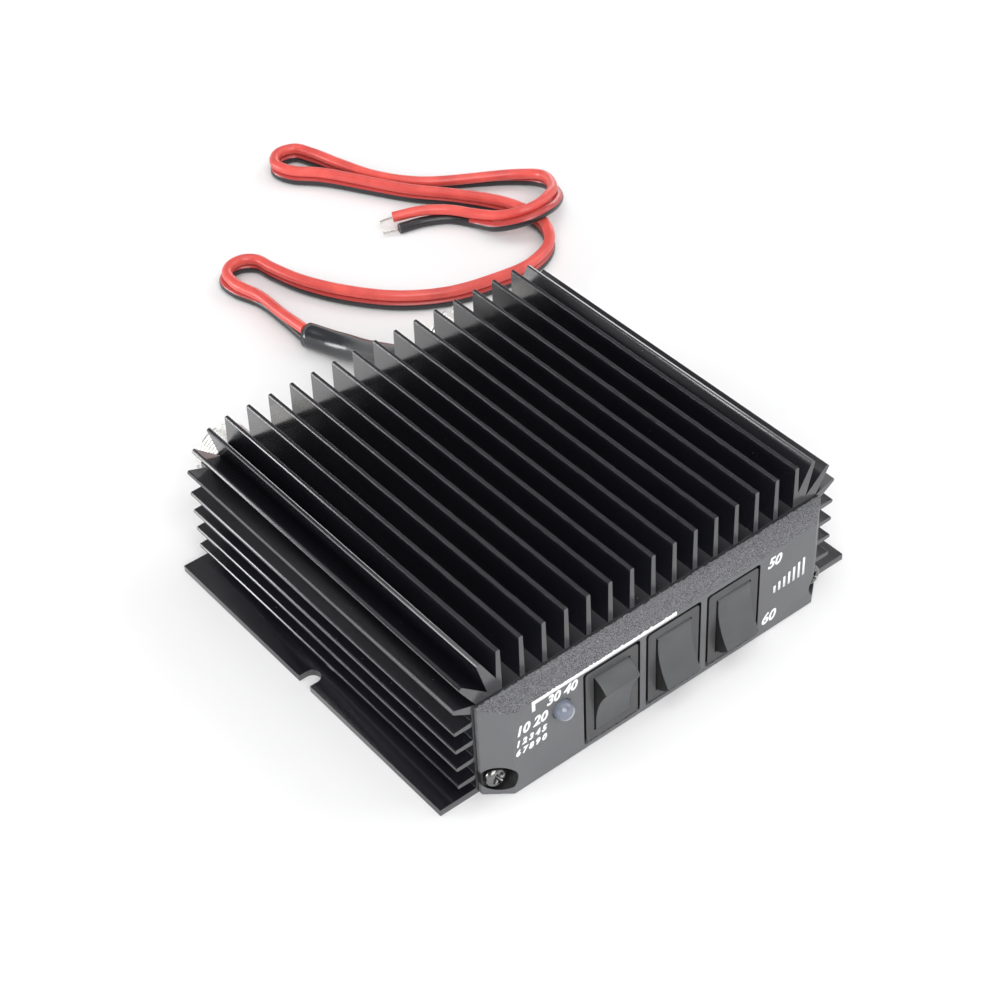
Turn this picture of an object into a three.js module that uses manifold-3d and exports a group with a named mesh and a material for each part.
// HF linear amplifier for a vehicle: a black finned extrusion, open below, with a moulded front panel,
// a flat rear panel, a slide-in bottom cover and a twin power lead. Millimetres, +X right, +Y to the
// rear, +Z up; the origin is the bottom centre of the box round the object without its lead.
import * as THREE from "three";
import { mergeVertices } from "three/addons/utils/BufferGeometryUtils.js";
import Module from "manifold-3d";

const wasm = await Module();
wasm.setup();

// Fits shared by all pieces
const gap = 0.3; // round a shaft, edge or pin that sits in another piece
const seat = 0.1; // between two faces that bear on each other
const overrun = 1; // how far a cutting shape runs past what it cuts
const roundSides = 20;
const boreSides = 32;
const smallSides = 12;
const wireSides = 8;
const thinSides = 6;
const cornerSteps = 3; // round the corner of an outline

// Extrusion: deck, walls and fins
const bodyLength = 102.5;
const wallReach = 51.6; // half the width over the walls
const wallThickness = 2.2;
const deckTop = 27.6;
const deckThickness = 4;
const finCount = 15;
const finPitch = 6.25;
const finTop = 39.6;
const finTipThickness = 1.1;
const finRootThickness = 1.45;
const finTipChamfer = 0.25;
const sideFinCount = 4;
const sideFinPitch = 5.6;
const sideFinLow = 5.5; // height of the lowest side fin
const sideFinLength = 4.9;
const fanHeight = 24; // height of the point that the corner fins fan out from
const fanAngles = [68, 44, 20, 0]; // degrees from upright
const fanReachShares = [0.872, 0.955, 1, 1]; // of the upright fin's reach from that point
const fanValleyAngles = [62, 33, 6]; // of the sharp valleys between those fins
const fanValleyShares = [0.47, 0.39, 0.49];
const fanWallHeight = 25.4; // where the lowest of those fins meets the wall

// Extrusion: flanges, screw ports and the groove for the bottom cover
const flangeWidth = 10.06; // from the wall out
const flangeThickness = 1.8;
const notchWidth = 4.4;
const notchDepth = 4.26;
const portInset = 3.7; // from the wall's outer face to the port's middle
const portHeight = 5.2;
const portRadius = 4.7;
const portBore = 1.3;
const portSlot = 1.8;
const lipWidth = 7; // of the ledge that carries the cover, from the wall in
const lipThickness = 1;
const grooveDepth = 3; // from the ledge's edge
const grooveHeight = 1.9;

// Bottom cover
const coverThickness = 1.5;

// Panels' shared outline
const panelLow = 0.2;
const panelHigh = 27.4;
const panelInset = 0.6; // from the wall's outer face to the panels' ends

// Front panel
const bezelDepth = 5.75;
const bezelRim = 1.2; // flat edge behind the side chamfer
const bezelChamfer = 5.6; // how much narrower the front face is at each end
const bezelDrop = 2.1; // how far the top falls towards the face
const bezelFaceThickness = 2.9;
const bezelWall = 1.8;
const windowWidth = 16.45;
const windowHeight = 22.6;
const windowCorner = 0.8;
const counterboreRadius = 3.6;
const counterboreFloor = 1.4;

// Rocker switches
const switchCount = 3;
const switchPitch = 18.25;
const switchMiddle = 1.1; // place of the middle switch
const switchHeight = 12.6;
const switchFrameWidth = 15.2;
const switchFrameHeight = 21.3;
const switchFrameThickness = 1.6;
const switchBodyWidth = 13;
const switchBodyHeight = 19;
const switchBodyDepth = 13.5;
const switchLatchWidth = 6;
const switchLatchLength = 2.2;
const switchLatchRise = 0.6;
const rockerWidth = 10;
const rockerRadius = 8.5; // of the swept ends, about the pins
const rockerPivotDepth = 2.7; // from the face back to the pins
const rockerTipAngle = 53.6; // degrees from straight out
const rockerEndAngle = 95;
const rockerFaceSag = 1.2;
const rockerHeel = 2.6; // from the pins down to the foot of the rocker
const rockerFoot = 2.2; // half the height of that foot
const rockerPinRadius = 1;
const rockerPinReach = 1.1; // how far each pin stands out of the rocker's side
const rockerTilt = 15; // degrees either way
const rockerRests = [1, -1, -1]; // 1 stands with its top out, -1 with its bottom out
const bladeWidth = 4.8;
const bladeThickness = 0.8;
const bladeReach = 6.5; // how far a blade stands out behind its switch
const bladeSpread = 4; // from the middle of a switch up or down to its blades
const bladeInside = 0.5;
const bladeHoleRadius = 0.8;

// Indicator lamp
const ledX = -31.5;
const ledHeight = 17.7;
const ledRadius = 2.5;
const ledProud = 3;
const ledFlangeRadius = 2.9;
const ledFlangeThickness = 1;
const ledDomeSteps = 6;
const legPitch = 2.54; // between the legs of all parts on the board
const legThickness = 0.6;

// Pan-head screws of the panels, and smaller ones inside
const panelScrew = { headRadius: 2.75, headHeight: 2, shankRadius: 1, length: 9, crossDepth: 1.1 };
const boardScrew = { headRadius: 2.4, headHeight: 1.7, shankRadius: 1.2, length: 11, crossDepth: 0.9 };
const tabScrew = { headRadius: 2.4, headHeight: 1.7, shankRadius: 1.2, length: 3.8, crossDepth: 0.9 };
const headCrownShare = 0.7; // of the head's radius, where its crown turns down
const crossReachShare = 0.58; // of the head's radius
const crossWidthShare = 0.28;

// Rear panel and what it carries
const rearThickness = 3;
const socketX = 36.5;
const socketHeight = 13;
const socketBarrelRadius = 7.9;
const socketBarrelReach = 15.6; // from the rear panel out
const socketShoulderRadius = 9;
const socketShoulderThickness = 1.5;
const socketBore = 6.4;
const socketMouthDepth = 9;
const rimNotchWidth = 1.8; // four notches in the rim hold the plug from turning
const rimNotchDepth = 1.1;
const contactRadius = 2.9;
const contactBore = 2;
const contactTipDepth = 3; // from the rim to the tip
const contactBoreDepth = 5;
const contactStemRadius = 1.5;
const contactTailRadius = 1;
const contactTailReach = 8.5; // into the case
const nutAcrossFlats = 19;
const nutThickness = 3;

// Power lead: grommet, sleeve and the two wires
const exitX = 20;
const exitHeight = 16;
const grommetBore = 3.9;
const grommetWaist = 5;
const grommetFlangeRadius = 6;
const grommetFlangeThickness = 1.3;
const sleeveRadius = 3.55;
const sleeveSteps = 11;
const leadRadius = 1.4; // a little under the wire's own 1.55, so that neighbours stay apart
const leadSteps = 62;
const tipRadius = 0.75;
const innerLeadSteps = 9;

// Circuit board and its parts
const boardSideSpace = 3.4; // between the board and the wall
const boardThickness = 1.6;
const boardUnderside = 15.3;
const boardFrontSpace = 3.4; // behind the switches' blades
const boardRearSpace = 8.8; // before the rear panel
const spacerRadius = 3;
const boardScrewInset = 5;
const boardPartSpace = 0.6; // between a screw's head and a relay beside it
const tabLength = 6; // transistor: bare end of the metal tab
const tabWidth = 10;
const tabThickness = 1.3;
const tabHoleInset = 3;
const packageLength = 9;
const packageThickness = 4.4;
const legRun = 2.5; // from the package to the bend of its legs
const accessHoleRadius = 3.2;
const relayLength = 20;
const relayWidth = 15;
const relayHeight = 11;
const relayChamfer = 0.9;
const relayLegPitches = [2, 3]; // from the relay's middle, across and along
const capacitorRadius = 5;
const capacitorHeight = 11.5;
const capacitorRim = 0.5;
const capacitorGroove = 2.3; // from the board down to the crimped groove
const coreCornerShare = 0.25; // of a ferrite block's height
const inputCore = { length: 14, width: 14, height: 7.5, bore: 2.2 };
const outputCore = { length: 17, width: 28, height: 11, bore: 3.4 };
const chokeRingRadius = 6.6; // to the middle of the ring core's section
const chokeCoreRadius = 2.6;
const chokeWireRadius = 0.5;
const chokeTurns = 10;
const chokeArc = 320; // degrees of the ring that are wound
const chokeSteps = 8; // points for each turn
const chokeGapSteps = 40; // points for each turn where its gap is measured
const chokeWireSides = 5;

// Places on the board, as shares of its half width and of its length from the front
const transistorShare = [0.52, 0.545];
const relayAlongShare = 0.76;
const capacitorShares = [[-0.78, 0.3], [0.78, 0.3]];
const leadPadShare = [0.42, 0.88]; // of the wires from the power lead

// Heights and lengths that follow
const rad = THREE.MathUtils.degToRad;
const rockerProud =
  rockerRadius * Math.cos(rad(rockerTipAngle - rockerTilt)) - rockerPivotDepth;
const bodyFront =
  (bezelDepth + rockerProud - rearThickness - socketBarrelReach - bodyLength) / 2;
const bodyRear = bodyFront + bodyLength;
const deckUnderside = deckTop - deckThickness;
const wallInside = wallReach - wallThickness;
const sideFinReach = wallReach + sideFinLength;
const flangeReach = wallReach + flangeWidth;
const portX = wallReach - portInset;
const lipReach = wallInside - lipWidth;
const grooveReach = lipReach + grooveDepth;
const panelReach = wallReach - panelInset;
const bezelFaceReach = panelReach - bezelChamfer;
const faceY = bodyFront - bezelDepth;
const rearFaceY = bodyRear + rearThickness;
const switchBack = faceY + switchFrameThickness + switchBodyDepth;
const boardFront = switchBack + bladeReach + boardFrontSpace;
const boardRear = bodyRear - boardRearSpace;
const boardLength = boardRear - boardFront;
const boardTop = boardUnderside + boardThickness;
const boardReach = wallInside - boardSideSpace;
const finReach = finTop - deckTop;
const outerFinX = ((finCount - 1) / 2) * finPitch;
const chokeWindingRadius = chokeCoreRadius + gap + 2 * chokeWireRadius;
const chokeReach = chokeRingRadius + chokeWindingRadius + chokeWireRadius;
const sides = [-1, 1];
const sideNames = ["left", "right"];

const materials = {
  anodised: material(0x15151a, 0.42, 0.6),
  moulded: material(0x1a1a1c, 0.55, 0),
  rubber: material(0x101012, 0.6, 0),
  steel: material(0xb9bbbe, 0.32, 1),
  nickel: material(0xd6d4cc, 0.22, 1),
  brass: material(0xc9a557, 0.3, 1),
  aluminium: material(0xaeb1b4, 0.45, 1),
  insulator: material(0xf2f1ea, 0.5, 0),
  lens: material(0xc3cad6, 0.25, 0),
  board: material(0x1d5b34, 0.6, 0),
  ferrite: material(0x3a3b3d, 0.75, 0),
  relayCase: material(0xd8d8d2, 0.5, 0),
  capacitorSleeve: material(0x20283c, 0.45, 0),
  copper: material(0xb5632f, 0.35, 1),
  redWire: material(0xd9463e, 0.5, 0),
  blackWire: material(0x141416, 0.5, 0),
};

function material(color, roughness, metalness) {
  return new THREE.MeshStandardMaterial({ color, roughness, metalness, flatShading: true });
}

// Shapes as solids

function point(x, y) {
  return new THREE.Vector2(x, y);
}

function solidOf(geometry) {
  const bare = geometry.index ? geometry.toNonIndexed() : geometry.clone();
  bare.deleteAttribute("normal");
  bare.deleteAttribute("uv");
  const merged = mergeVertices(bare);
  return new wasm.Manifold(
    new wasm.Mesh({
      numProp: 3,
      vertProperties: merged.attributes.position.array,
      triVerts: merged.index.array,
    }),
  );
}

function geometryOf(solid) {
  const mesh = solid.getMesh();
  const geometry = new THREE.BufferGeometry();
  geometry.setAttribute("position", new THREE.BufferAttribute(mesh.vertProperties, 3));
  geometry.setIndex(new THREE.BufferAttribute(mesh.triVerts, 1));
  geometry.computeVertexNormals();
  return geometry;
}

function extruded(outline, depth) {
  return new THREE.ExtrudeGeometry(new THREE.Shape(outline), { depth, bevelEnabled: false });
}

// An outline in x and z, run from front to back.
function alongY(outline, front, back) {
  return solidOf(extruded(outline, back - front).rotateX(Math.PI / 2).translate(0, back, 0));
}

// An outline in x and y, run from low to high.
function alongZ(outline, low, high) {
  return solidOf(extruded(outline, high - low).translate(0, 0, low));
}

// An outline in y and z, run from left to right.
function alongX(outline, left, right) {
  const turn = new THREE.Matrix4().makeBasis(
    new THREE.Vector3(0, 1, 0),
    new THREE.Vector3(0, 0, 1),
    new THREE.Vector3(1, 0, 0),
  );
  return solidOf(extruded(outline, right - left).applyMatrix4(turn).translate(left, 0, 0));
}

function rectangle(left, right, low, high) {
  return [point(left, low), point(right, low), point(right, high), point(left, high)];
}

function box(left, right, front, back, low, high) {
  return alongZ(rectangle(left, right, front, back), low, high);
}

// Points of a circle's arc, with angles in degrees.
function arc(x, y, radius, from, to, steps) {
  return Array.from({ length: steps + 1 }, (_, i) => {
    const angle = rad(from + ((to - from) * i) / steps);
    return point(x + radius * Math.cos(angle), y + radius * Math.sin(angle));
  });
}

function circle(x, y, radius, count = smallSides) {
  return arc(x, y, radius, 0, 360, count).slice(0, count);
}

// A rectangle about (x, y) with rounded corners.
function rounded(x, y, width, height, radius) {
  const right = width / 2 - radius;
  const top = height / 2 - radius;
  return [
    ...arc(x + right, y + top, radius, 0, 90, cornerSteps),
    ...arc(x - right, y + top, radius, 90, 180, cornerSteps),
    ...arc(x - right, y - top, radius, 180, 270, cornerSteps),
    ...arc(x + right, y - top, radius, 270, 360, cornerSteps),
  ];
}

// A profile of [radius, height] pairs, turned about Z.
function turned(profile, count = roundSides) {
  const points = profile.map(([radius, height]) => point(radius, height));
  return solidOf(new THREE.LatheGeometry(points, count).rotateX(Math.PI / 2));
}

function tube(path, radius, steps, count = wireSides) {
  const section = new THREE.Shape(circle(0, 0, radius, count));
  return solidOf(
    new THREE.ExtrudeGeometry(section, { steps, bevelEnabled: false, extrudePath: path }),
  );
}

function route(points) {
  const places = points.map(([x, y, z]) => new THREE.Vector3(x, y, z));
  return new THREE.CatmullRomCurve3(places, false, "centripetal");
}

function joined(solids) {
  return solids.reduce((whole, solid) => whole.add(solid));
}

function cut(solid, cutters) {
  return solid.subtract(joined(cutters));
}

const amplifier = new THREE.Group();

// Adds a piece at its place; tilt turns it about X, in radians.
function place(name, solid, finish, x = 0, y = 0, z = 0, tilt = 0) {
  const mesh = new THREE.Mesh(geometryOf(solid), finish);
  mesh.name = name;
  mesh.position.set(x, y, z);
  mesh.rotation.x = tilt;
  amplifier.add(mesh);
}

const toRear = -Math.PI / 2; // turns +Z to face the rear
const toFront = Math.PI / 2;

// Heatsink extrusion

// A way to place points by a fin's middle line, which leaves (x, y) at an angle in degrees from
// upright: first the distance along it, then how far to its right.
function finLine(x, y, angle) {
  const along = point(Math.sin(rad(angle)), Math.cos(rad(angle)));
  const right = point(along.y, -along.x);
  return (distance, aside) =>
    point(x, y).addScaledVector(along, distance).addScaledVector(right, aside);
}

// Corners of a fin's chamfered tip, from right to left.
function finTipCorners(at, reach) {
  const half = finTipThickness / 2;
  return [
    at(reach - finTipChamfer, half),
    at(reach, half - finTipChamfer),
    at(reach, finTipChamfer - half),
    at(reach - finTipChamfer, -half),
  ];
}

// A tapered fin with its root at (x, y), from right to left.
function fin(x, y, angle, reach) {
  const at = finLine(x, y, angle);
  const half = finRootThickness / 2;
  return [at(0, half), ...finTipCorners(at, reach), at(0, -half)];
}

// The right corner's fins, fanned out from one point, with a sharp valley between neighbours
function fan() {
  const outerReach = finTop - fanHeight;
  const points = fanAngles.flatMap((angle, i) => {
    const tip = finTipCorners(finLine(outerFinX, fanHeight, angle), outerReach * fanReachShares[i]);
    if (i === fanValleyAngles.length) return tip;
    const valley = finLine(outerFinX, fanHeight, fanValleyAngles[i]);
    return [...tip, valley(outerReach * fanValleyShares[i], 0)];
  });
  const leftRoot = point(outerFinX - finRootThickness / 2, deckTop);
  return [point(wallReach, fanWallHeight), ...points, leftRoot];
}

function extrusionOutline() {
  const right = [
    point(wallInside, deckUnderside),
    point(wallInside, lipThickness),
    point(lipReach, lipThickness),
    point(lipReach, 0),
    point(flangeReach, 0),
    point(flangeReach, flangeThickness),
    point(wallReach, flangeThickness),
  ];
  for (let i = 0; i < sideFinCount; i += 1) {
    const height = sideFinLow + i * sideFinPitch;
    right.push(...fin(wallReach, height, 90, sideFinReach - wallReach));
  }
  right.push(...fan());
  for (let i = 1; i < (finCount - 1) / 2; i += 1) {
    right.push(...fin(outerFinX - i * finPitch, deckTop, 0, finReach));
  }
  const left = right.map((p) => point(-p.x, p.y)).reverse();
  return [...right, ...fin(0, deckTop, 0, finReach), ...left];
}

function heatsink() {
  const body = alongY(extrusionOutline(), bodyFront, bodyRear);
  const middle = (bodyFront + bodyRear) / 2;
  const front = bodyFront - overrun;
  const back = bodyRear + overrun;
  const ports = sides.map((side) => {
    const inside = rectangle(0, side * wallReach, 0, portHeight + portRadius);
    const port = circle(side * portX, portHeight, portRadius, roundSides);
    return alongY(port, bodyFront, bodyRear).intersect(alongY(inside, bodyFront, bodyRear));
  });
  const cuts = [];
  for (const side of sides) {
    const across = (from, to, low, high) =>
      alongY(rectangle(side * from, side * to, low, high), front, back);
    const notchCentre = flangeReach - notchDepth + notchWidth / 2;
    const notchRound = circle(side * notchCentre, middle, notchWidth / 2, roundSides);
    const notchSides = [middle - notchWidth / 2, middle + notchWidth / 2];
    const slotSides = [portHeight - portSlot / 2, portHeight + portSlot / 2];
    cuts.push(
      alongY(circle(side * portX, portHeight, portBore), front, back),
      across(portX - portRadius - overrun, portX, ...slotSides),
      across(lipReach - overrun, grooveReach, lipThickness, lipThickness + grooveHeight),
      alongZ(notchRound, -overrun, flangeThickness + overrun),
      alongZ(
        rectangle(side * notchCentre, side * (flangeReach + overrun), ...notchSides),
        -overrun,
        flangeThickness + overrun,
      ),
    );
  }
  for (const [x, y] of [...boardScrewPlaces(), ...transistorPlaces()]) {
    const bore = circle(x, y, boardScrew.shankRadius + gap);
    cuts.push(alongZ(bore, deckUnderside - overrun, deckTop - overrun));
  }
  return cut(joined([body, ...ports]), cuts);
}

// Bottom cover, held by the extrusion's grooves
function bottomCover() {
  const low = lipThickness + (grooveHeight - coverThickness) / 2;
  const reach = grooveReach - gap;
  return box(-reach, reach, bodyFront + seat, bodyRear - seat, low, low + coverThickness);
}

// Front panel: a moulded frame with sloping top and chamfered ends

function switchPlace(i) {
  return switchMiddle + (i - (switchCount - 1) / 2) * switchPitch;
}

function frontPanel() {
  const back = bodyFront - seat;
  const plan = [
    point(panelReach, back),
    point(-panelReach, back),
    point(-panelReach, bodyFront - bezelRim),
    point(-bezelFaceReach, faceY),
    point(bezelFaceReach, faceY),
    point(panelReach, bodyFront - bezelRim),
  ];
  const side = [
    point(faceY, panelLow),
    point(back, panelLow),
    point(back, panelHigh),
    point(faceY, panelHigh - bezelDrop),
  ];
  const body = alongZ(plan, panelLow, panelHigh).intersect(alongX(side, -panelReach, panelReach));
  const pocketReach = portX - counterboreRadius - bezelWall;
  const cuts = [
    box(
      -pocketReach,
      pocketReach,
      faceY + bezelFaceThickness,
      back + overrun,
      panelLow + bezelWall,
      panelHigh - bezelDrop - bezelWall,
    ),
    alongY(circle(ledX, ledHeight, ledRadius + gap / 2), faceY - overrun, back),
  ];
  for (let i = 0; i < switchCount; i += 1) {
    const x = switchPlace(i);
    const window = rounded(x, switchHeight, windowWidth, windowHeight, windowCorner);
    const opening = rounded(
      x,
      switchHeight,
      switchBodyWidth + 2 * gap,
      switchBodyHeight + 2 * gap,
      windowCorner,
    );
    cuts.push(
      alongY(window, faceY - overrun, faceY + switchFrameThickness + seat),
      alongY(opening, faceY - overrun, back),
    );
  }
  for (const side of sides) {
    const floor = bodyFront - counterboreFloor;
    cuts.push(
      alongY(circle(side * portX, portHeight, counterboreRadius, roundSides), faceY - overrun, floor),
      alongY(circle(side * portX, portHeight, panelScrew.shankRadius + gap), floor, back + overrun),
    );
  }
  return cut(body, cuts);
}

// Rocker switches

// Housing about the middle of its front face: frame, body with its latches, and the bore that the
// rocker swings in.
function switchHousing() {
  const halfBody = switchBodyHeight / 2;
  const bodyBack = switchFrameThickness + switchBodyDepth;
  const frame = rounded(0, 0, switchFrameWidth, switchFrameHeight, windowCorner);
  const body = rectangle(-switchBodyWidth / 2, switchBodyWidth / 2, -halfBody, halfBody);
  const parts = [alongY(frame, 0, switchFrameThickness), alongY(body, 0, bodyBack)];
  const latchFront = bezelFaceThickness + gap;
  for (const side of sides) {
    const latch = [
      point(latchFront, side * (halfBody - switchLatchRise)),
      point(latchFront, side * (halfBody + switchLatchRise)),
      point(latchFront + switchLatchLength, side * (halfBody - switchLatchRise)),
    ];
    parts.push(alongX(latch, -switchLatchWidth / 2, switchLatchWidth / 2));
  }
  const wellReach = rockerWidth / 2 + gap;
  const well = circle(rockerPivotDepth, 0, rockerRadius + gap, boreSides);
  const bore = circle(rockerPivotDepth, 0, rockerPinRadius + gap);
  const slots = sides.map((side) => {
    const reach = bladeWidth / 2 + gap;
    const low = side * bladeSpread - bladeThickness / 2 - gap;
    const slot = rectangle(-reach, reach, low, low + bladeThickness + 2 * gap);
    return alongY(slot, rockerPivotDepth, bodyBack + overrun);
  });
  return cut(joined(parts), [
    alongX(well, -wellReach, wellReach),
    alongX(bore, -switchBodyWidth / 2 - overrun, switchBodyWidth / 2 + overrun),
    ...slots,
  ]);
}

// Rocker about its pins, facing straight out: a dished face between two swept ends.
function rocker() {
  const at = (angle) => arc(0, 0, rockerRadius, angle, angle, 1)[0];
  const tip = at(180 - rockerTipAngle);
  const faceRadius = (tip.y ** 2 + rockerFaceSag ** 2) / (2 * rockerFaceSag);
  const faceCentre = tip.x - Math.sqrt(faceRadius ** 2 - tip.y ** 2);
  const halfFace = THREE.MathUtils.radToDeg(Math.asin(tip.y / faceRadius));
  const outline = [
    ...arc(0, 0, rockerRadius, 180 - rockerEndAngle, 180 - rockerTipAngle, 5),
    ...arc(faceCentre, 0, faceRadius, halfFace, -halfFace, 8).slice(1, -1),
    ...arc(0, 0, rockerRadius, 180 + rockerTipAngle, 180 + rockerEndAngle, 5),
    point(rockerHeel, -rockerFoot),
    point(rockerHeel, rockerFoot),
  ];
  const pinReach = rockerWidth / 2 + rockerPinReach;
  const pin = alongX(circle(0, 0, rockerPinRadius), -pinReach, pinReach);
  return alongX(outline, -rockerWidth / 2, rockerWidth / 2).add(pin);
}

// Blade terminal about the middle of its switch's back, with a hole for solder.
function switchBlade() {
  const bodyBack = switchFrameThickness + switchBodyDepth;
  const wellBack =
    rockerPivotDepth + Math.sqrt((rockerRadius + gap) ** 2 - bladeSpread ** 2);
  const blade = box(
    -bladeWidth / 2,
    bladeWidth / 2,
    wellBack + bladeInside - bodyBack,
    bladeReach,
    -bladeThickness / 2,
    bladeThickness / 2,
  );
  const hole = circle(0, bladeReach - bladeWidth / 2, bladeHoleRadius);
  return cut(blade, [alongZ(hole, -bladeThickness, bladeThickness)]);
}

function addSwitches() {
  for (let i = 0; i < switchCount; i += 1) {
    const x = switchPlace(i);
    const name = `switch_${i + 1}`;
    const pivotY = faceY + rockerPivotDepth;
    const tilt = rad(rockerTilt * rockerRests[i]);
    place(`${name}_housing`, switchHousing(), materials.moulded, x, faceY, switchHeight);
    place(`${name}_rocker`, rocker(), materials.moulded, x, pivotY, switchHeight, tilt);
    for (const [end, side] of [["lower", -1], ["upper", 1]]) {
      const height = switchHeight + side * bladeSpread;
      place(`${name}_${end}_blade`, switchBlade(), materials.nickel, x, switchBack, height);
    }
  }
}

// Indicator lamp, pointing up from the face it shines through; its two legs end in the board.
function addLamp() {
  const back = -bezelFaceThickness - seat;
  const legDrop = ledHeight - boardUnderside + legThickness;
  const legBack = boardLegRow() - faceY;
  const dome = arc(0, ledProud - ledRadius, ledRadius, 0, 90, ledDomeSteps).slice(0, -1);
  const lens = turned([
    [0, back - ledFlangeThickness],
    [ledFlangeRadius, back - ledFlangeThickness],
    [ledFlangeRadius, back],
    [ledRadius, back],
    ...dome.map((p) => [p.x, p.y]),
    [0, ledProud],
  ]);
  const legs = sides.flatMap((side) => {
    const left = (side * legPitch - legThickness) / 2;
    const right = left + legThickness;
    return [
      box(left, right, -legThickness / 2, legThickness / 2, -legBack - legThickness / 2, back),
      box(
        left,
        right,
        -legDrop,
        legThickness / 2,
        -legBack - legThickness / 2,
        legThickness / 2 - legBack,
      ),
    ];
  });
  place("indicator_lamp", joined([lens, ...legs]), materials.lens, ledX, faceY, ledHeight, toFront);
}

// Screws, head down and shank up from the head's bearing face

function screw({ headRadius, headHeight, shankRadius, length, crossDepth }) {
  const body = turned(
    [
      [0, -headHeight],
      [headRadius * headCrownShare, -headHeight],
      [headRadius, -headHeight / 2],
      [headRadius, 0],
      [shankRadius, 0],
      [shankRadius, length - shankRadius],
      [0, length],
    ],
    smallSides,
  );
  const reach = headRadius * crossReachShare;
  const half = (headRadius * crossWidthShare) / 2;
  const bars = [
    box(-reach, reach, -half, half, -headHeight - overrun, crossDepth - headHeight),
    box(-half, half, -reach, reach, -headHeight - overrun, crossDepth - headHeight),
  ];
  return cut(body, bars);
}

function addPanelScrews() {
  const seats = [
    ["front", bodyFront - counterboreFloor - seat, toRear],
    ["rear", rearFaceY + seat, toFront],
  ];
  sides.forEach((side, i) => {
    for (const [end, y, turn] of seats) {
      const name = `${end}_screw_${sideNames[i]}`;
      place(name, screw(panelScrew), materials.steel, side * portX, y, portHeight, turn);
    }
  });
}

// Rear panel, sockets and nuts

function rearPanel() {
  const body = box(-panelReach, panelReach, bodyRear + seat, rearFaceY, panelLow, panelHigh);
  const through = (outline) => alongY(outline, bodyRear - overrun, rearFaceY + overrun);
  const cuts = [through(circle(exitX, exitHeight, grommetWaist + gap / 2, roundSides))];
  for (const side of sides) {
    cuts.push(
      through(circle(side * socketX, socketHeight, socketBarrelRadius + gap, roundSides)),
      through(circle(side * portX, portHeight, panelScrew.shankRadius + gap)),
    );
  }
  return cut(body, cuts);
}

// Socket parts, with the rear panel's outer face at height 0 and the barrel pointing up
function addSockets() {
  const inner = -rearThickness;
  const foot = inner - socketShoulderThickness;
  const rim = socketBarrelReach;
  const mouth = rim - socketMouthDepth;
  const tip = rim - contactTipDepth;
  const barrel = turned(
    [
      [socketBore, foot],
      [socketShoulderRadius, foot],
      [socketShoulderRadius, inner],
      [socketBarrelRadius, inner],
      [socketBarrelRadius, rim],
      [socketBore, rim],
      [socketBore, foot],
    ],
    boreSides,
  );
  const half = rimNotchWidth / 2;
  const notchReach = socketBarrelRadius + overrun;
  const shell = cut(barrel, [
    box(-notchReach, notchReach, -half, half, rim - rimNotchDepth, rim + overrun),
    box(-half, half, -notchReach, notchReach, rim - rimNotchDepth, rim + overrun),
  ]);
  const insulator = turned([
    [contactStemRadius + gap, foot],
    [socketBore - gap, foot],
    [socketBore - gap, mouth],
    [contactStemRadius + gap, mouth],
    [contactStemRadius + gap, foot],
  ]);
  const contact = turned(
    [
      [0, foot - contactTailReach],
      [contactTailRadius, foot - contactTailReach],
      [contactTailRadius, foot],
      [contactStemRadius, foot],
      [contactStemRadius, mouth + seat],
      [contactRadius, mouth + seat],
      [contactRadius, tip],
      [contactBore, tip],
      [contactBore, tip - contactBoreDepth],
      [0, tip - contactBoreDepth],
    ],
    smallSides,
  );
  const flats = arc(0, 0, nutAcrossFlats / 2 / Math.cos(Math.PI / 6), 30, 330, 5);
  const bore = circle(0, 0, socketBarrelRadius + gap, boreSides);
  const nut = cut(alongZ(flats, seat, nutThickness), [
    alongZ(bore, -overrun, nutThickness + overrun),
  ]);
  sides.forEach((side, i) => {
    const at = [side * socketX, rearFaceY, socketHeight];
    const put = (name, solid, finish) =>
      place(`${name}_${sideNames[i]}`, solid, finish, ...at, toRear);
    put("socket_shell", shell, materials.nickel);
    put("socket_insulator", insulator, materials.insulator);
    put("socket_contact", contact, materials.brass);
    put("socket_nut", nut, materials.nickel);
  });
}

// Circuit board and the places of its parts

function onBoard([acrossShare, alongShare]) {
  return [acrossShare * boardReach, boardFront + alongShare * boardLength];
}

function boardLegRow() {
  return boardFront + legPitch;
}

function boardScrewPlaces() {
  const rows = [boardFront + boardScrewInset, boardRear - boardScrewInset];
  return sides.flatMap((side) => rows.map((y) => [side * (boardReach - boardScrewInset), y]));
}

// Where each transistor's tab is screwed to the deck
function transistorPlaces() {
  const [x, y] = onBoard(transistorShare);
  return sides.map((side) => [side * x, y]);
}

function transistorLegs() {
  const back = tabHoleInset + packageLength + legRun;
  return [-1, 0, 1].map((i) => [i * legPitch, -back]);
}

// Each relay stands just inside the heads of the board's screws.
function relayPlaces() {
  const headEdge = boardReach - boardScrewInset - boardScrew.headRadius;
  const x = headEdge - boardPartSpace - relayWidth / 2;
  return sides.map((side) => [side * x, onBoard([0, relayAlongShare])[1]]);
}

// Input core, output core and choke, evenly spaced along the board's middle
function middleRow() {
  const lengths = [inputCore.length, outputCore.length, 2 * chokeReach];
  const taken = lengths.reduce((sum, length) => sum + length);
  const space = (boardLength - taken) / (lengths.length + 1);
  let edge = boardFront;
  return lengths.map((length) => {
    edge += space + length;
    return [0, edge - length / 2];
  });
}

const relayLegs = [-1, 0, 1].flatMap((i) =>
  sides.map((side) => [side * legPitch * relayLegPitches[0], i * legPitch * relayLegPitches[1]]),
);
const capacitorLegs = sides.map((side) => [(side * legPitch) / 2, 0]);

function coreLegs({ length, width }) {
  return sides.flatMap((along) =>
    sides.map((side) => [(side * width) / 4, along * (length / 2 - legPitch / 2)]),
  );
}

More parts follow.
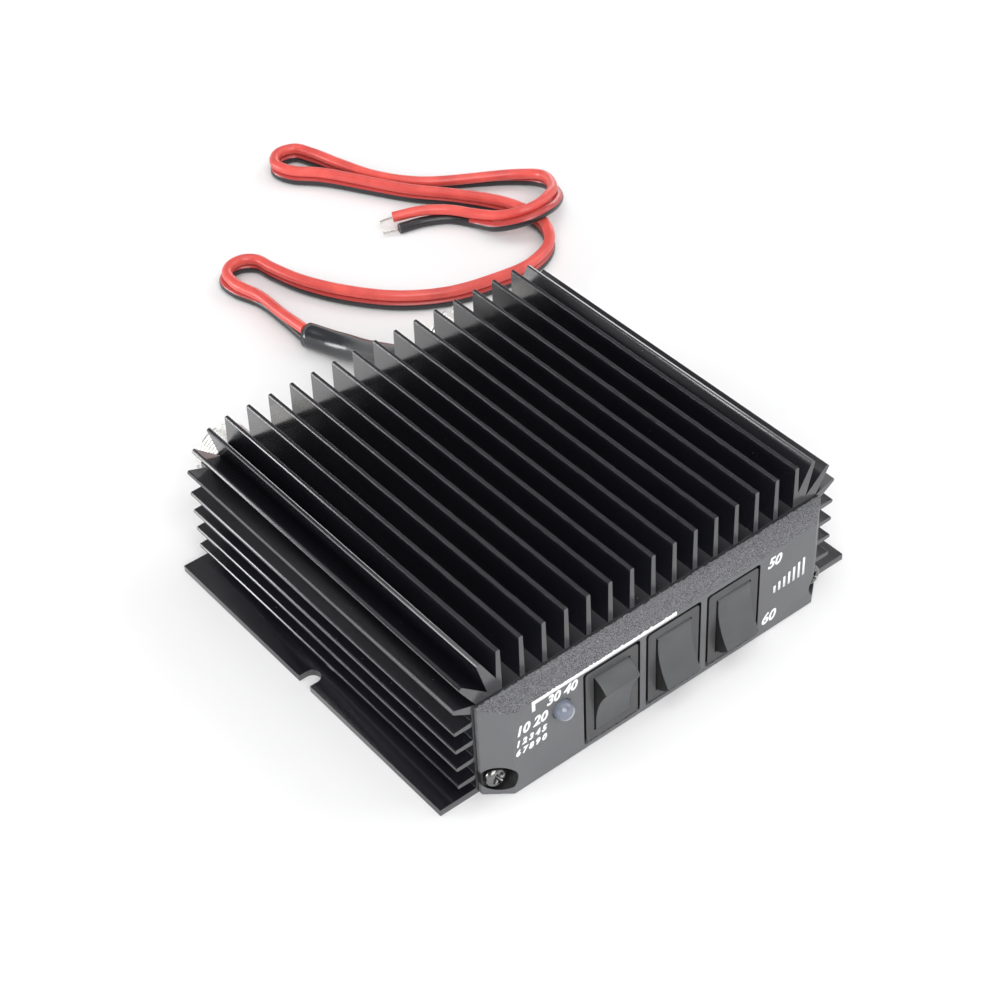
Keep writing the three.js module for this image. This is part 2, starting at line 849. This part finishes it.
function chokeLegs() {
  const angle = rad(chokeArc / 2);
  return sides.map((side) => [
    side * chokeRingRadius * Math.sin(angle),
    chokeRingRadius * Math.cos(angle),
  ]);
}

function leadPads() {
  const [x, y] = onBoard(leadPadShare);
  return { red: [x + 2 * leadRadius, y], black: [x - 2 * leadRadius, y] };
}

function circuitBoard() {
  const body = box(-boardReach, boardReach, boardFront, boardRear, boardUnderside, boardTop);
  const through = (outline) => alongZ(outline, boardUnderside - overrun, boardTop + overrun);
  const legHole = (x, y) => through(circle(x, y, legThickness / 2 + gap, thinSides));
  const legHoles = (places, legs) =>
    places.flatMap(([x, y]) => legs.map(([legX, legY]) => legHole(x + legX, y + legY)));
  const [inputPlace, outputPlace, chokePlace] = middleRow();
  return cut(body, [
    ...boardScrewPlaces().map(([x, y]) => through(circle(x, y, boardScrew.shankRadius + gap))),
    ...transistorPlaces().map(([x, y]) => through(circle(x, y, accessHoleRadius))),
    ...legHoles([[ledX, boardLegRow()]], capacitorLegs),
    ...legHoles(transistorPlaces(), transistorLegs()),
    ...legHoles(relayPlaces(), relayLegs),
    ...legHoles(capacitorShares.map(onBoard), capacitorLegs),
    ...legHoles([inputPlace], coreLegs(inputCore)),
    ...legHoles([outputPlace], coreLegs(outputCore)),
    ...legHoles([chokePlace], chokeLegs()),
  ]);
}

// Round legs of a part under the board, from its top at height 0 up through the board.
function legsThrough(legs) {
  return legs.map(([x, y]) =>
    alongZ(circle(x, y, legThickness / 2, thinSides), -legThickness, boardThickness + legThickness),
  );
}

function addBoardFixings() {
  const spacer = turned(
    [
      [boardScrew.shankRadius + gap, boardTop + seat],
      [spacerRadius, boardTop + seat],
      [spacerRadius, deckUnderside - seat],
      [boardScrew.shankRadius + gap, deckUnderside - seat],
      [boardScrew.shankRadius + gap, boardTop + seat],
    ],
    smallSides,
  );
  boardScrewPlaces().forEach(([x, y], i) => {
    place(`board_spacer_${i + 1}`, spacer, materials.aluminium, x, y);
    place(`board_screw_${i + 1}`, screw(boardScrew), materials.steel, x, y, boardUnderside - seat);
  });
}

// Power transistor about its tab's hole, hanging from the deck at height 0.
function transistor() {
  const bodyFrom = -tabHoleInset - packageLength;
  const legY = bodyFrom - legRun;
  const legZ = -packageThickness / 2;
  const tab = box(-tabWidth / 2, tabWidth / 2, bodyFrom, tabLength - tabHoleInset, -tabThickness, 0);
  const hole = alongZ(circle(0, 0, tabScrew.shankRadius + gap), -tabThickness - overrun, overrun);
  const body = box(
    -tabWidth / 2,
    tabWidth / 2,
    bodyFrom,
    -tabHoleInset,
    -packageThickness,
    -tabThickness / 2,
  );
  const legs = transistorLegs().flatMap(([x]) => {
    const left = x - legThickness / 2;
    const half = legThickness / 2;
    return [
      box(left, left + legThickness, legY - half, bodyFrom + half, legZ - half, legZ + half),
      box(left, left + legThickness, legY - half, legY + half, boardUnderside - deckUnderside, legZ),
    ];
  });
  return joined([cut(tab, [hole]), body, ...legs]);
}

function addTransistors() {
  transistorPlaces().forEach(([x, y], i) => {
    const seatHeight = deckUnderside - seat;
    place(`power_transistor_${sideNames[i]}`, transistor(), materials.moulded, x, y, seatHeight);
    const screwHeight = seatHeight - tabThickness - seat;
    place(`transistor_screw_${sideNames[i]}`, screw(tabScrew), materials.steel, x, y, screwHeight);
  });
}

function relay() {
  const chamfer = relayChamfer;
  const x = relayWidth / 2;
  const outline = [
    point(-x, 0),
    point(-x, chamfer - relayHeight),
    point(chamfer - x, -relayHeight),
    point(x - chamfer, -relayHeight),
    point(x, chamfer - relayHeight),
    point(x, 0),
  ];
  return joined([alongY(outline, -relayLength / 2, relayLength / 2), ...legsThrough(relayLegs)]);
}

// Upright can with a crimped groove near its foot and a rolled rim round its far end.
function capacitor() {
  const can = turned([
    [0, -capacitorHeight + capacitorRim],
    [capacitorRadius - 2 * capacitorRim, -capacitorHeight + capacitorRim],
    [capacitorRadius - capacitorRim, -capacitorHeight],
    [capacitorRadius, -capacitorHeight + capacitorRim],
    [capacitorRadius, -capacitorGroove - capacitorRim],
    [capacitorRadius - capacitorRim, -capacitorGroove],
    [capacitorRadius, -capacitorGroove + capacitorRim],
    [capacitorRadius, 0],
    [0, 0],
  ]);
  return joined([can, ...legsThrough(capacitorLegs)]);
}

// Ferrite block with two bores for its windings.
function twinCore(core) {
  const { length, width, height, bore } = core;
  const end = length / 2;
  const outline = rounded(0, -height / 2, width, height, height * coreCornerShare);
  const bores = sides.map((side) =>
    alongY(circle((side * width) / 4, -height / 2, bore), -end - overrun, end + overrun),
  );
  return joined([cut(alongY(outline, -end, end), bores), ...legsThrough(coreLegs(core))]);
}

// Ring core, lying under the board with its middle at height 0.
function chokeCore() {
  const section = arc(0, 0, chokeCoreRadius, 0, 360, smallSides);
  return turned(section.map((p) => [chokeRingRadius + p.x, p.y]));
}

// The least gap between a wound wire and itself, over points at least half a turn apart.
function leastGap(curve, radius, turns) {
  const points = curve.getSpacedPoints(turns * chokeGapSteps);
  let least = Infinity;
  points.forEach((a, i) => {
    for (const b of points.slice(i + chokeGapSteps / 2)) {
      least = Math.min(least, a.distanceTo(b) - 2 * radius);
    }
  });
  return least;
}

// The choke's wire: one helix round the ring, with both ends turned up into the board.
function chokeWirePoints(boardAbove) {
  const count = chokeTurns * chokeSteps;
  const points = [];
  for (let i = 0; i <= count; i += 1) {
    const round = rad(chokeArc * (0.5 - i / count));
    const turn = (2 * Math.PI * i) / chokeSteps;
    const radius = chokeRingRadius + chokeWindingRadius * Math.sin(turn);
    const height = chokeWindingRadius * Math.cos(turn);
    points.push([-radius * Math.sin(round), radius * Math.cos(round), height]);
  }
  const [start, end] = [points[0], points[count]];
  points.shift();
  points.pop();
  const [left, right] = chokeLegs();
  const top = boardAbove + boardThickness + legThickness;
  return [
    [left[0], left[1], top],
    [left[0], left[1], (start[2] + boardAbove) / 2],
    ...points,
    [right[0], right[1], (end[2] + boardAbove) / 2],
    [right[0], right[1], top],
  ];
}

function addBoardParts() {
  const under = boardUnderside - seat;
  relayPlaces().forEach(([x, y], i) => {
    place(`relay_${sideNames[i]}`, relay(), materials.relayCase, x, y, under);
  });
  capacitorShares.map(onBoard).forEach(([x, y], i) => {
    place(`capacitor_${sideNames[i]}`, capacitor(), materials.capacitorSleeve, x, y, under);
  });
  const [inputPlace, outputPlace, chokePlace] = middleRow();
  place("input_transformer_core", twinCore(inputCore), materials.ferrite, ...inputPlace, under);
  place("output_transformer_core", twinCore(outputCore), materials.ferrite, ...outputPlace, under);
  const boardAbove = chokeWindingRadius + chokeWireRadius + gap;
  const chokeHeight = boardUnderside - boardAbove;
  const points = chokeWirePoints(boardAbove);
  const wire = route(points);
  const winding = tube(wire, chokeWireRadius, points.length + chokeSteps, chokeWireSides);
  place("choke_core", chokeCore(), materials.ferrite, ...chokePlace, chokeHeight);
  place("choke_winding", winding, materials.copper, ...chokePlace, chokeHeight);
  const least = leastGap(wire, chokeWireRadius, chokeTurns);
  console.log(`choke_winding: least gap to itself ${least.toFixed(2)} mm`);
}

// Power lead

// Grommet, with the rear panel's outer face at height 0 and its outside up
function grommet() {
  const inner = -rearThickness + seat;
  return turned([
    [grommetBore, inner - grommetFlangeThickness],
    [grommetFlangeRadius, inner - grommetFlangeThickness],
    [grommetFlangeRadius, inner - seat],
    [grommetWaist - gap / 2, inner - seat],
    [grommetWaist - gap / 2, seat],
    [grommetFlangeRadius, seat],
    [grommetFlangeRadius - grommetFlangeThickness / 2, grommetFlangeThickness],
    [grommetBore, grommetFlangeThickness],
    [grommetBore, inner - grommetFlangeThickness],
  ]);
}

// Centre lines of the sleeve and the wires, chosen by hand: out of the panel, down to the table and
// along it, round two folds and back over itself. X and Y are measured from the middle of the exit in
// the rear panel's outer face, and Z from the table.
const sleeveRoute = [
  [0, -6.4, 16], [0, -2.8, 16], [0, 1.2, 15.9], [-0.5, 9.5, 14.6], [-0.9, 17.8, 12],
  [-1.5, 28.2, 7.6], [-2.8, 39.1, 4.4], [-6.6, 50.4, 3.7],
];
const redRoute = [
  [-6.9, 51.1, 5.3], [-7.1, 62.2, 4.8], [-7.1, 73.2, 4.7], [-9, 82, 4.7], [-8, 88.1, 4.7],
  [-5, 90.7, 4.7], [-1, 90.7, 4.7], [2, 88.1, 4.7], [3.2, 82, 4.7], [6.2, 71.2, 4.7],
  [12.6, 58.8, 4.7], [22, 47, 4.7], [33.5, 39.2, 4.7], [46, 35.6, 4.7], [59, 34.4, 4.7],
  [70, 39, 4.7], [75.4, 49.2, 4.7], [73.4, 62.2, 4.7], [65.4, 75.4, 4.7], [55.9, 87.8, 4.7],
  [42.2, 111.6, 4.7], [35.6, 119.6, 4.7], [34.4, 125.6, 4.7], [38, 129.6, 4.7], [43.4, 128.6, 4.7],
  [46.2, 122.6, 4.7], [49, 112, 4.7], [53.6, 99.4, 4.5], [62.2, 88, 4.3], [85.2, 71.6, 4.8],
  [88.9, 64.4, 6.2], [85.1, 55.6, 7.9], [80.3, 52.2, 8.8], [75.5, 50.6, 9.1], [70.8, 51.6, 8.4],
  [66.2, 56.8, 6.2], [62.6, 64.2, 4.8], [58.4, 70.7, 4.7], [52.6, 75.6, 4.7], [45.1, 80.7, 3.2],
];
const blackRoute = [
  [-6.9, 51.1, 2.1], [-6.3, 62.2, 1.8], [-6.4, 73.2, 1.6], [-9.2, 82.8, 1.6], [-9, 88.4, 1.6],
  [-6.2, 91.4, 1.6], [-1.4, 91.4, 1.6], [2.3, 88.3, 1.6], [3.5, 82, 1.6], [6.4, 71.2, 1.6],
  [12.6, 58.8, 1.6], [22, 47, 1.6], [33.5, 39.2, 1.6], [46, 35.6, 1.6], [59, 34.4, 1.6],
  [70, 39, 1.6], [75.4, 49.2, 1.6], [73.4, 62.2, 1.6], [65.8, 75.8, 1.6], [56.2, 88.1, 1.6],
  [42.2, 111.6, 1.6], [35.6, 119.6, 1.6], [34.4, 125.6, 1.6], [38, 129.6, 1.6], [43.4, 128.6, 1.6],
  [46.2, 122.6, 1.6], [49.4, 112.2, 1.6], [54.6, 100.2, 1.6], [63.4, 90.2, 1.6], [85.6, 73, 1.8],
  [89.4, 64.6, 3.1], [86.6, 54.9, 5.1], [81.3, 50, 6.7], [75.8, 47.8, 7.9], [69.9, 48.8, 7],
  [64.4, 55.6, 3.8], [62.5, 64, 1.7], [58.4, 70.7, 1.6], [51.8, 74.6, 1.6], [44.3, 76.6, 1.6],
];
const redTipRoute = [[44.8, 80.9, 3], [41.9, 83.2, 1.5]];
const blackTipRoute = [[44, 76.7, 1.6], [39.5, 78, 1.5]];

// Inside the case the wires run from the sleeve to the board: red over it, black under it.
function innerLeads() {
  const x = exitX + sleeveRoute[0][0];
  const y = rearFaceY + sleeveRoute[0][1] - gap;
  const aside = leadRadius + gap / 2;
  const clear = leadRadius + gap;
  const run = (side, pad, end) => [
    [x, y, exitHeight + side * aside],
    [x, y - leadRadius, exitHeight + side * aside],
    [(x + pad[0]) / 2, (y + pad[1]) / 2, end + side * 2 * leadRadius],
    [pad[0], pad[1] + 2 * leadRadius, end + side * leadRadius],
    [pad[0], pad[1], end],
  ];
  const pads = leadPads();
  return {
    red: run(1, pads.red, boardTop + clear),
    black: run(-1, pads.black, boardUnderside - clear),
  };
}

function addPowerLead() {
  place("cable_grommet", grommet(), materials.rubber, exitX, rearFaceY, exitHeight, toRear);
  const outer = [
    ["power_sleeve", sleeveRoute, sleeveRadius, sleeveSteps, materials.rubber],
    ["power_lead_red", redRoute, leadRadius, leadSteps, materials.redWire],
    ["power_lead_black", blackRoute, leadRadius, leadSteps, materials.blackWire],
    ["bare_tip_red", redTipRoute, tipRadius, 1, materials.copper],
    ["bare_tip_black", blackTipRoute, tipRadius, 1, materials.copper],
  ];
  for (const [name, points, radius, steps, finish] of outer) {
    place(name, tube(route(points), radius, steps), finish, exitX, rearFaceY);
  }
  const { red, black } = innerLeads();
  place("inner_lead_red", tube(route(red), leadRadius, innerLeadSteps), materials.redWire);
  place("inner_lead_black", tube(route(black), leadRadius, innerLeadSteps), materials.blackWire);
}

place("heatsink", heatsink(), materials.anodised);
place("bottom_cover", bottomCover(), materials.aluminium);
place("front_panel", frontPanel(), materials.moulded);
addSwitches();
addLamp();
addPanelScrews();
place("rear_panel", rearPanel(), materials.moulded);
addSockets();
place("circuit_board", circuitBoard(), materials.board);
addBoardFixings();
addTransistors();
addBoardParts();
addPowerLead();

export default amplifier;
